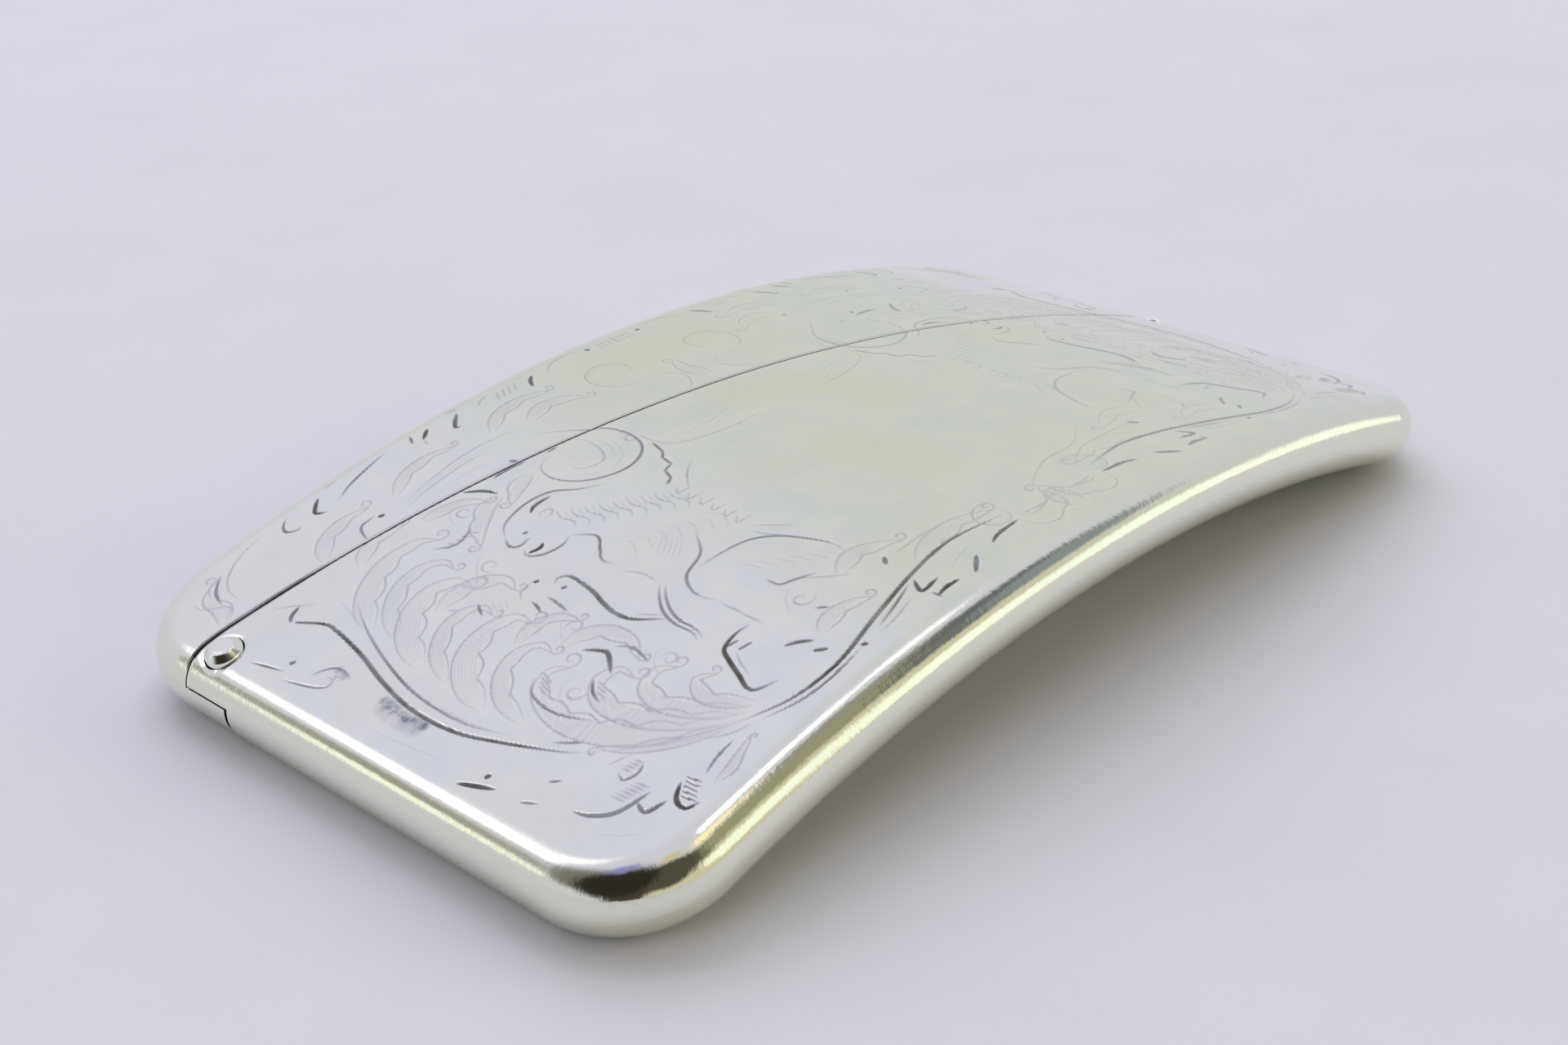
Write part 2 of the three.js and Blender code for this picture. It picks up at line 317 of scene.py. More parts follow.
def ticks(tool, first, last, count, reach):
    """A row of short parallel cuts, from first to last, each reaching by reach."""
    for k in range(count):
        t = k / max(count - 1, 1)
        u = first[0] + (last[0] - first[0]) * t
        v = first[1] + (last[1] - first[1]) * t
        stroke(tool, (u, v), (u + reach[0], v + reach[1]), start=1, end=0.2)


def across(path):
    """Unit vectors square to a path."""
    along = np.gradient(path, axis=0)
    along /= np.hypot(*along.T)[:, None] + 1e-9
    return np.stack([-along[:, 1], along[:, 0]], 1)


CURL_TURNS, CURL_END = 1.3, 0.2  # a curl's turns, and its last radius as a share of its first


def curl(path, radius, both):
    """Winds the end of a leaf up into a small spiral, on the side to which it already turns."""
    ahead, before = path[-1] - path[-4], path[-8] - path[-12]
    side = math.copysign(1, before[0] * ahead[1] - before[1] * ahead[0])
    ahead = ahead / math.hypot(*ahead)
    centre = path[-1] + radius * side * np.array((-ahead[1], ahead[0]))
    start = math.atan2(*(path[-1] - centre)[::-1])
    t = np.linspace(0, 1, 28)
    reach, angle = radius * CURL_END**t, start + side * 2 * math.pi * CURL_TURNS * t
    spiral = centre + np.stack([reach * np.cos(angle), reach * np.sin(angle)], 1)
    cut_path(spline(spiral), FINE, both, start=0.9)


LOBE_STEPS = 55  # path steps from one lobe of a leaf to the next, about 2.8 mm


def plume(width, *points, lines=6, both=True, edge=FINE):
    """A curling leaf: a lobed outer edge, an inner edge and fine lines that fan out between them."""
    path = spline(points)
    aside = across(path)
    t = np.linspace(0, 1, len(path))
    leaf = np.sin(np.pi * t**0.8) ** 0.8 * width / 2
    lobes = 0.85 + 0.5 * np.abs(np.sin(np.pi * (len(path) / LOBE_STEPS) * t**1.2))
    cut_path(path + aside * (leaf * lobes)[:, None], edge, both, end=0.9)
    for k in range(1, lines):
        side = 1 - 2 * k / lines
        reach = int(len(path) * (1 - 0.09 * (k % 3)))
        cut_path((path + aside * (leaf * side)[:, None])[:reach], HAIR, both, end=0.1)
    cut_path(path - aside * leaf[:, None], FINE, both, end=0.8)
    curl(path, width * 0.42, both)
    for u in halves(path[:, 0], both):
        press_along(tone, u, path[:, 1], 0.35 + leaf * 1.25, 0.95)


def volute(tool, centre, outer, inner, turns, start, hand=1, both=True, lines=1, gap=0.5):
    """A scroll that winds inwards from radius outer to inner, from the angle start, in degrees."""
    t = np.linspace(0, 1, int(turns * 60) + 2)
    angle = math.radians(start) + hand * 2 * math.pi * turns * t
    for k in range(lines):
        radius = (outer - gap * k) * ((inner / outer) ** t)
        path = np.stack([centre[0] + radius * np.cos(angle), centre[1] + radius * np.sin(angle)], 1)
        cut_path(spline(path[::3]), tool if k == 0 else HAIR, both)


def wash(radius, strength, *points):
    """A soft patch where close fine cuts take the shine off, and a pale sheen is painted into the
    colour.
    """
    path = spline(points, 0.4)
    for u in halves(path[:, 0], True):
        press_along(tone, u, path[:, 1], radius, strength)


def frame_border():
    """The bold line round the pattern, and the lines beside it."""
    stroke(BOLD, (7.25, 13), (7.75, 12.5), (8.6, 12.25))
    stroke(BOLD, (7.5, 13.4), (8.3, 15.3), (8.3, 16.8), (7.6, 20.3), (6.6, 23.8), (5.9, 27.6),
           (5.95, 31.6), (6.8, 35.1), (8.1, 39.1), (8.8, 40.6), start=0.7)
    stroke(FINE, (8.8, 40.6), (10.5, 42.9), (13, 45.3), (14.8, 46.7), (16.9, 47.8))
    stroke(BOLD, (15.6, 47.2), (18.75, 48.45), (22.5, 48.6), (27.5, 47.4), (32.5, 46.2),
           (36.5, 45.7), (41.3, 46.4))
    stroke(PLAIN, (16.2, 48.1), (18.5, 48.95), (20.5, 49.2), (22.5, 49.1), (24.6, 48.8))
    dot(24.7, 48.75)
    stroke(PLAIN, (26.6, 48.35), (29, 47.65), (31.2, 46.85))
    stroke(PLAIN, (11, 15.5), (9.25, 19), (7.75, 23.25), (6.9, 27.1), (6.75, 31.6), (7.6, 35.6))
    stroke(HAIR, (7.1, 27.5), (6.95, 31.5), (7.4, 34.6))
    stroke(PLAIN, (8.4, 38.1), (9.4, 40))
    stroke(FINE, (7.3, 10.5), (8.2, 11.5), (9.5, 13.4))
    stroke(HAIR, (10.1, 15.7), (10.35, 14.6), (9.9, 16.4), (9.2, 17.9))
    stroke(FINE, (13.2, 46.2), (14.4, 47.3), (16, 48))
    stroke(HAIR, (12.2, 45.3), (13.6, 46.4), (15.1, 47.1))
    stroke(HAIR, (12.9, 45.2), (14.3, 46.2))


def sprigs():
    """Small leaves and buds outside the frame line."""
    stroke(PLAIN, (3.4, 13.5), (3.75, 15.25), (4, 16.6))
    dot(4.75, 16.4)
    stroke(PLAIN, (3.4, 17), (3.75, 18.75), (4.1, 20), (4.6, 20.6), (5.4, 20.25))
    stroke(PLAIN, (4.5, 18.6), (5.4, 19.1), (5.95, 19.8), (5.9, 21), (5.5, 21.5))
    ticks(FINE, (5.1, 20), (5.7, 20.6), 3, (0.15, 0.7))
    stroke(BOLD, (3.1, 35.1), (3.5, 36.35), (4, 37.85))
    dot(4.4, 36.5)
    stroke(HAIR, (3.3, 25), (3.75, 31), (4.2, 34.6))
    stroke(PLAIN, (4, 39.85), (4.5, 41.1))
    stroke(PLAIN, (6.0, 40.3), (6.5, 41))
    stroke(BOLD, (5.1, 43.35), (5.4, 44.6), (6.4, 45.85), (8.6, 46.5))
    stroke(BOLD, (7.5, 46.35), (7.25, 47.35), (8.5, 47.85))
    stroke(PLAIN, (8.6, 43.6), (8.4, 44.35), (9.25, 44.7), (10.1, 44.35))
    ticks(FINE, (9, 43.6), (9.9, 43.8), 4, (0.1, 0.7))
    ticks(FINE, (7.1, 44.7), (8.6, 45.2), 6, (0.1, 1.1))
    stroke(BOLD, (10, 47.5), (8.85, 48.25), (8.6, 49.2), (9.4, 49.65))
    ticks((0.15, 0.05), (9.2, 48.35), (10.5, 47.6), 5, (0.1, 1.15))
    stroke(PLAIN, (11.1, 48.4), (12.5, 48), (14.2, 47.85))
    stroke(FINE, (8.6, 42.5), (9.4, 42.9), (10.2, 43.3))
    plume(0.6, (10.8, 49.4), (12.3, 49.3), (13.8, 48.9), (14.9, 48.5), lines=4)
    stroke(HAIR, (4.4, 45.5), (5.2, 47.3), (6.3, 48.8))
    stroke(BOLD, (31.6, 46.85), (30.95, 48.1), (32.7, 47.95))
    stroke(BOLD, (31, 49.3), (32.2, 49.1), (33.3, 49.2))
    stroke(PLAIN, (31.2, 48.7), (31.1, 49.6))
    stroke(BOLD, (36.1, 48.25), (35.3, 48.9), (34.4, 49.6))
    stroke(BOLD, (37.8, 48.2), (39, 47.75), (41.25, 47.6))
    stroke(FINE, (26, 48.9), (28, 48.6), (30.2, 48))
    stroke(HAIR, (33, 48.5), (34.4, 47.8), (36, 47.3), (38.4, 46.9))


def acanthus():
    """The leaves that fill the frame's rounded end."""
    plume(1.7, (9.3, 19.4), (10.4, 17.2), (12.4, 15.3), (15, 14.2), (17.3, 14.4), (18.3, 15.6), lines=8)
    plume(1.2, (9.6, 21.6), (11, 19.2), (13.2, 17.4), (15.4, 17), (16.8, 17.9), (16.6, 19.2))
    plume(1.8, (8.6, 25.4), (9.8, 22.6), (11.9, 20.4), (14.2, 19.6), (15.8, 20.4), (15.9, 21.9), lines=8)
    plume(1.1, (8.5, 28), (9.9, 25.4), (11.9, 23.7), (13.8, 23.4), (14.9, 24.4), (14.6, 25.5))
    plume(1.8, (8, 32.2), (9, 29.4), (11, 27.1), (13.4, 26.3), (15.2, 27), (15.4, 28.5), lines=8)
    plume(1.2, (8.5, 35.4), (9.3, 32.6), (10.9, 30.6), (12.8, 29.9), (14.2, 30.7), (14, 32))
    plume(1.9, (15.6, 47.3), (12.8, 44.4), (10.7, 41), (10, 37.4), (10.8, 34.3), (12.6, 33.1),
          (13.7, 34.1), lines=9)
    plume(1.6, (16.1, 47.3), (13.9, 44.4), (12.5, 41.2), (12.4, 38.3), (13.7, 36.6), (15.1, 37.1),
          (15, 38.5), lines=8)
    plume(1.4, (16.7, 47.2), (15, 44.5), (14.2, 41.8), (14.7, 39.8), (16.2, 39.2), (17.2, 40.3), lines=7)
    plume(1.1, (17.3, 47), (16.3, 45.2), (16, 43.4), (16.9, 42.1), (17.9, 42.8))
    plume(0.9, (14.9, 46.9), (12.4, 45.1), (10.4, 42.9), (9.4, 40.8), lines=5)
    plume(1.1, (13.4, 13.1), (14.6, 11.9), (16.4, 11.4), (18.4, 11.9), lines=4)
    plume(1.3, (12.8, 21.9), (14.6, 21.4), (16.6, 22), (17.6, 23.4), (17.2, 24.8))
    plume(1.0, (13.2, 29.3), (15, 28.8), (16.7, 29.6), (17.2, 31.2), lines=5)
    plume(1.2, (14.4, 32.2), (16.2, 32.3), (17.4, 33.8), (17.4, 35.8), (16.4, 37.4))
    stroke(BOLD, (15.2, 33.5), (15.75, 34.6), (15.75, 35.35), (14.5, 36.9))
    stroke(PLAIN, (11, 39.1), (10.4, 37.2), (10.25, 35.6), (10.75, 33.6), (12, 32.6))
    stroke(PLAIN, (13.75, 36.1), (12.75, 37.1), (12.25, 38.3))
    stroke(PLAIN, (16.5, 35.1), (17, 36.35), (16.5, 38.35))
    stroke(PLAIN, (14.95, 23.6), (14.6, 24.2), (14.2, 24.9))
    ticks(FINE, (11.4, 33.6), (12.4, 33), 4, (-0.4, 1.2))
    ticks(FINE, (12.9, 37.4), (13.6, 36.8), 3, (-0.2, 1))
    ticks(HAIR, (15.2, 24.2), (16, 25.2), 4, (-0.5, 1))
    stroke(FINE, (13.4, 22.2), (13.9, 23.1))


def beast():
    """An upright animal in profile on each side of the blank shield."""
    stroke(PLAIN, (20.75, 19.75), (21.75, 18.5), (23.25, 17.9), (25, 17.75), (26.5, 18.25),
           (27.75, 19.75), (29.5, 21))
    stroke(BOLD, (23.75, 18.95), (24.6, 18.5), (26, 18.55))
    stroke(PLAIN, (20.75, 19.75), (20.3, 20.7), (20.7, 21.3), (21.9, 21.2))
    dot(21.9, 20.45, 0.32)
    stroke(BOLD, (20.4, 22.5), (21.25, 22.75), (21.8, 22.5))
    stroke(PLAIN, (20.6, 21.9), (20.2, 22.6), (20.8, 23.5), (22.2, 23.9), (23.4, 23.5))
    stroke(FINE, (23.6, 20.1), (24.2, 19.5), (24.9, 19.9), (24.3, 20.4), (23.6, 20.1))
    for k in range(9):
        u, v = 25 + 0.75 * k, 20.2 + 0.62 * k
        stroke(FINE, (u, v), (u - 0.5, v + 1.1), (u - 0.35, v + 2.3), (u - 1.0, v + 3.1))
        stroke(HAIR, (u + 0.35, v + 0.3), (u - 0.1, v + 1.4), (u + 0.1, v + 2.4))
    stroke(PLAIN, (23.4, 23.5), (24.25, 25.2), (23.25, 26.6), (22.5, 27.6), (22.6, 28.85))
    stroke(PLAIN, (16.95, 26.7), (16.75, 27.5), (16.35, 28.4))
    stroke(PLAIN, (17.8, 27.3), (17.65, 28.6), (17.35, 29.9))
    stroke(FINE, (16.6, 26.2), (17.2, 25.4), (18.2, 25.2), (18.6, 25.4))
    dot(18.5, 25.4, 0.4)
    stroke(BOLD, (19, 26.7), (19.6, 26.5), (20.1, 27.2), (19.75, 29.6), (19.25, 31.1), (18.9, 32.6),
           (19, 34.1), (20.2, 36.2))
    dot(19, 27.6, 0.35)
    stroke(FINE, (19.4, 33.8), (20.1, 35.2), (20.4, 35.9))
    stroke(PLAIN, (22.6, 33), (21.5, 34.1), (20.6, 35.35), (20.1, 36.85), (20, 38.6), (19.5, 39.6))
    stroke(PLAIN, (22.8, 33.35), (21.8, 34.4), (20.95, 35.7), (20.5, 37), (20.35, 38.6), (19.9, 39.7))
    stroke(FINE, (22.2, 29.6), (22.8, 31.2), (22.6, 33))
    stroke(PLAIN, (23.25, 37.6), (23, 36.4), (23.25, 35.2), (24.25, 33.85), (26.5, 32.85),
           (28.25, 30.6))
    stroke(PLAIN, (25, 33.85), (28.75, 34.35), (30.5, 35.6), (31.5, 37.6), (32, 39.6), (31.75, 41.1))
    stroke(FINE, (23.2, 37.6), (23.1, 40), (23, 42.3))
    stroke(BOLD, (22.4, 41.2), (21.3, 41.1), (19.9, 41.5), (19.2, 42.6), (18.5, 44.1), (17.9, 45.35),
           (18.1, 46), (19.5, 46.6))
    stroke(FINE, (20.2, 42.2), (19.4, 43.4), (18.8, 44.8))
    ticks(PLAIN, (20.1, 41.5), (20.4, 42.4), 2, (0.9, 0.2))
    stroke(PLAIN, (26.6, 38.6), (26.6, 39.85), (27.5, 40.35), (29, 41.1))
    stroke(FINE, (27.5, 40.1), (28.8, 41.8), (30.25, 43.35))
    stroke(BOLD, (22, 44.6), (22.75, 45.1), (23.4, 45.85))
    stroke(BOLD, (22.6, 46.5), (23.25, 47.15))
    stroke(PLAIN, (25.9, 43.6), (26.5, 44.35))
    stroke(BOLD, (32.6, 43.5), (32, 44.2))
    stroke(FINE, (33, 43.85), (35, 43.75), (37.2, 43.7))
    stroke(FINE, (30.25, 33.85), (30.5, 35.1), (31.25, 36.35))
    stroke(FINE, (30.75, 33.35), (31.6, 34.8), (32.5, 36.1))
    for k in range(7):
        u, v = 24.6 + 0.95 * k, 26.6 + 0.5 * k
        stroke(HAIR, (u, v), (u + 0.35, v + 1.2), (u - 0.2, v + 2.3), (u - 0.9, v + 3))
    for k in range(6):
        u, v = 26.8 + 0.8 * k, 35.6 + 0.75 * k
        stroke(HAIR, (u, v), (u + 0.5, v + 1.3), (u + 0.5, v + 2.6))
    for k in range(5):
        v = 30.6 + 0.45 * k
        stroke(HAIR, (24.2, v), (25.8, v - 0.8), (27.4, v - 2.1))
    plume(1.3, (29.3, 42.6), (31.4, 41.6), (33.3, 42.1), (34.8, 43.1))
    plume(1.2, (24, 45.9), (25.6, 45.1), (27.4, 45.2), (28.8, 45.9), lines=5)


def scrolls():
    """The volutes and leaves round the blank shield."""
    stroke(PLAIN, (31, 10.9), (32.25, 12), (33.5, 13.5), (34.75, 15), (35, 17), (34.5, 18.75),
           (33.25, 20), (31.5, 20.5), (29.75, 20), (28.5, 19), (27.75, 17.5), (27.75, 16),
           (28.5, 14.75), (30, 14.25))
    stroke(FINE, (32.1, 13.7), (32.6, 15), (32.25, 17), (31.25, 18.25), (30, 18), (29.5, 17.25),
           (30, 16.25))
    stroke(HAIR, (33.2, 14.6), (33.6, 16.4), (33, 18.4), (31.4, 19.5), (29.9, 19.2), (28.7, 17.9))
    stroke(HAIR, (32.8, 14.4), (33.1, 16.6), (32.4, 18.2), (31, 19))
    stroke(BOLD, (23, 12.5), (23.9, 13.7), (24.25, 15))
    stroke(BOLD, (25.4, 13.1), (26.6, 13.05), (28.2, 13.35))
    stroke(BOLD, (27.6, 12.3), (27.9, 12.8))
    stroke(PLAIN, (29.8, 13.8), (30.9, 13.85))
    stroke(PLAIN, (17.25, 16), (18.5, 17.1), (20, 16.75), (20.75, 16))
    ticks(FINE, (17.8, 16.5), (20, 16.9), 5, (0.3, 0.7))
    plume(1.3, (24.5, 15.3), (22.6, 15.7), (20.7, 17.1), (19.3, 18.9))
    plume(1.2, (27.4, 14.9), (25.4, 15.7), (23.8, 16.9), lines=5)
    plume(1.0, (18.8, 12.8), (20.6, 12.9), (22.4, 13.8), (23.2, 15.3), lines=5)
    zigzag = [(35, 19.5), (34.5, 21), (33.9, 21.6), (33.6, 22.8), (32.7, 23.1), (32.2, 24.2),
              (31.5, 24.6)]
    for a, b in zip(zigzag, zigzag[1:]):
        stroke(PLAIN, a, b, start=0.8, end=0.8)
    stroke(FINE, (35, 23.5), (33.25, 24.75), (31.75, 26.5))
    for u, v, radius, start in (
        (12.2, 36.1, 0.9, 30), (16.6, 31.4, 0.8, 200), (18.2, 21.2, 0.9, 100),
        (17.4, 39.2, 0.7, 250), (26.2, 42.2, 1.0, 10), (21.4, 14.6, 0.8, 60),
    ):
        volute(FINE, (u, v), radius, 0.2, 1.3, start)
        stroke(HAIR, (u - 1.3, v + 1.5), (u - 1.2, v), (u, v - 1.2), (u + 1.4, v - 0.9))
    for k in range(6):
        v = 25.4 + 1.25 * k
        stroke(FINE, (31.8 - 0.1 * k, v), (31 - 0.1 * k, v + 0.7), (32.4 - 0.1 * k, v + 0.9))
    plume(1.6, (43.4, 22.2), (39.2, 21.4), (36.2, 20.2), (35.3, 17.4), lines=5, edge=HAIR)
    stroke(HAIR, (35.6, 19.4), (38, 20.3), (41.2, 20.2), (44.6, 18.6))
    volute(FINE, (41.5, 8.2), 3.3, 0.9, 1.3, 60, both=False, lines=3, gap=0.45)
    volute(FINE, (50.2, 9.3), 3.4, 0.9, 1.3, 120, hand=-1, both=False, lines=3, gap=0.45)
    stroke(FINE, (43.1, 11), (44.4, 12.6), (43.8, 14.4), (42.4, 15.6), both=False)
    stroke(FINE, (48.5, 12.2), (47.6, 13.5), (48.4, 15.2), (50.2, 16.6), both=False)
    stroke(HAIR, (45, 9.6), (45.8, 12.8), (46.6, 9.7), both=False)
    plume(1.2, (45.8, 14.8), (45.3, 12.4), (45.8, 10.2), both=False)
    plume(1.6, (41.3, 47.4), (42.6, 48.6), (44.4, 48.2), (45.6, 46.6))
    plume(1.5, (45.8, 49.8), (45.5, 47.9), (45.8, 45.6), both=False)
    volute(FINE, (50.8, 46.2), 2.3, 0.6, 1.2, 200, lines=2)
    stroke(FINE, (44.75, 46), (47, 44.5), (49.5, 43.5), (53, 43.2), (56.5, 40.8), both=False)
    stroke(FINE, (46.5, 47.5), (48.3, 47.5), (50, 47.25))
    plume(1.5, (33, 46), (35.5, 44.9), (38.4, 44.6), (41.2, 45.4))


def lid_pattern():
    """What is on the lid's side of the seam."""
    stroke(PLAIN, (15.75, 11), (16, 10), (16.6, 9.1), (18, 9))
    dot(18.05, 9.4)
    stroke(FINE, (19.2, 10.1), (21.25, 9.4), (23.75, 8.9), (26.25, 8.6), (28.75, 8.7), (32.2, 9.3))
    stroke(FINE, (19.2, 10.6), (21.25, 10), (23.75, 9.7), (26.25, 9.6), (28.5, 9.9))
    stroke(HAIR, (18.9, 10.4), (21.25, 9.7), (23.75, 9.3), (26.5, 9.15), (30, 9.6))
    stroke(HAIR, (22.5, 10.9), (25, 10.75), (27.25, 11))
    stroke(PLAIN, (14.4, 3), (13.6, 3.75), (13.4, 4.5), (14, 5), (14.5, 4.9))
    stroke(BOLD, (17.2, 3.2), (16.4, 3.9), (15.9, 4.6), (16.4, 5.25))
    stroke(PLAIN, (17.75, 4.9), (19.25, 4.1), (21.25, 3.5), (23.75, 2.9))
    stroke(FINE, (18, 2.6), (20.25, 2.45))
    stroke(BOLD, (27.4, 3.1), (26.25, 4.1))
    stroke(PLAIN, (26, 2.8), (25.4, 3.9))
    stroke(FINE, (26.25, 4.1), (26, 5))
    stroke(BOLD, (30.1, 3.25), (28.75, 4.75), (29.1, 5.1))
    stroke(FINE, (29.25, 2.75), (31, 2.45))
    stroke(FINE, (31.5, 4), (32.5, 3.25), (33.5, 2.95))
    ticks(FINE, (34, 3.3), (35.7, 3.3), 4, (-0.7, 1.2))
    stroke(BOLD, (37.4, 3.4), (36.7, 4.1), (36.2, 5))
    stroke(FINE, (38, 4.6), (39.4, 3.2), (41.4, 2.8), (43, 3.4))
    dot(43.1, 3.4)
    ticks(FINE, (44.3, 3), (45.8, 3.1), 4, (-0.2, 1.3))
    stroke(FINE, (12.5, 3), (10, 3.5), (8.25, 4.5), (7.25, 5.75), (7, 7.25), (7.25, 7.75))
    stroke(PLAIN, (8, 3.9), (7, 4.75), (6.4, 5.5), (6, 6.8))
    stroke(FINE, (7.6, 3.9), (6.5, 4.5), (5.9, 5.6))
    stroke(FINE, (5, 4.5), (4.9, 5.5), (5.4, 6.4), (6, 7.1), (6, 7.75), (4.75, 8.6))
    plume(1.2, (4.6, 8.9), (5.6, 7.2), (5.9, 5.4), (7.4, 4.2))
    plume(1.2, (12.4, 10.2), (13.8, 8.3), (16, 7.4), (18.4, 7.6))
    plume(1.3, (32, 9.3), (34.2, 8.2), (36.2, 8.6), (37.4, 10))
    plume(1.1, (29.5, 8.2), (31.4, 6.4), (34, 5.8), (36.6, 6.6))
    plume(1.0, (20, 8.6), (22, 7), (24.6, 6.4), (27, 7), lines=5)
    dot(59, 9.5, both=False)
    dot(68.5, 7.75, 0.35, both=False)


def washes():
    wash(1.1, 0.8, (24.2, 37), (24.4, 40), (24, 44.5))
    wash(0.8, 0.6, (18, 30.5), (17.8, 33.5), (17.6, 36.5))
    wash(0.9, 0.7, (12.6, 38.6), (12.8, 41.4))
    wash(0.9, 0.8, (18.8, 40.4), (20.6, 39.9), (22.2, 39.6))
    wash(1.0, 0.7, (29.2, 43.3), (31, 42), (33.6, 42.8), (35.4, 43.2))
    wash(0.8, 0.7, (27, 15.4), (26.8, 18), (28.6, 20.2), (30.6, 21.4))
    wash(0.7, 0.7, (34.3, 20.6), (33, 23.4), (31.6, 26), (31.3, 30))
    wash(0.7, 0.5, (25.2, 33.6), (28.6, 34.2), (30.6, 36), (31.6, 39.4))
    wash(1.0, 0.4, (10, 45.2), (12, 46.8), (14, 47.5))
    wash(1.1, 0.4, (27.6, 49), (30, 49.3))
    wash(0.6, 0.6, (9.6, 4.6), (11.2, 4))
    wash(0.9, 0.5, (31.8, 11.6), (33.4, 13.2), (34.4, 15.2))
    wash(1.0, 0.5, (6.8, 45.1), (7.6, 45.4))


def smudges():
    """Blue-black tarnish that polishing has missed beside the frame line, and yellow stains."""
    for layer, radius, strength, points in (
        (smudge, 0.55, 1.0, ((5.5, 25.4), (5.25, 26.6), (5.15, 27.8), (5.3, 29.4))),
        (smudge, 0.9, 0.5, ((5.2, 25.8), (5.0, 27.4), (5.0, 29))),
        (smudge, 0.4, 0.7, ((5.9, 20.1), (5.6, 20.9))),
        (yellowing, 3.2, 0.9, ((44.5, 18.4), (48.5, 21), (50.8, 24), (50.6, 27))),
        (yellowing, 3.6, 0.8, ((42.8, 31), (43.8, 34), (44, 37))),
        (yellowing, 3.4, 0.7, ((45, 7), (50.5, 7.4))),
        (yellowing, 3.0, 0.6, ((68, 24), (73, 26))),
    ):
        path = spline(points, 0.2)
        press_along(layer, path[:, 0], path[:, 1], radius, strength)


for draw in (frame_border, sprigs, acanthus, beast, scrolls, lid_pattern, washes, smudges):
    draw()
for layer in (relief, soot, tone, smudge, yellowing):
    layer.settle()


RIM_WIDTH, SEAM_EASE, HOLE_EASE = 0.25, 0.08, 0.09  # of the rounded rims: width, and how far down
WAVINESS = 0.008


def eased(x, y):
    """How far the rims of the seam and of the button's hole are rounded down."""
    seam = np.abs(y - front_seam(x)) - SEAM_GAP / 2
    rim = np.abs(np.hypot(x - BUTTON_X, y - BUTTON_Y) - BUTTON_HOLE)
    return np.maximum(
        SEAM_EASE * np.clip(1 - seam / RIM_WIDTH, 0, 1) ** 2,
        HOLE_EASE * np.clip(1 - rim / RIM_WIDTH, 0, 1) ** 2,
    )


def waviness(x, y):
    """The gentle unevenness of worn sheet."""
    return WAVINESS * (
        np.sin(x / 5.3 + 0.7) * np.sin(y / 4.1 + 1.9)
        + 0.6 * np.sin(x / 2.9 - y / 3.7 + 0.4)
        + 0.5 * np.sin(x / 8.7 + y / 3.1 + 2.2)
    )


# ---------------------------------------------------------------- shells

FLAT_X, FLAT_Y = HALF_LENGTH - HALF_THICKNESS, HALF_WIDTH - HALF_THICKNESS
FLAT_RADIUS = CORNER_RADIUS - HALF_THICKNESS


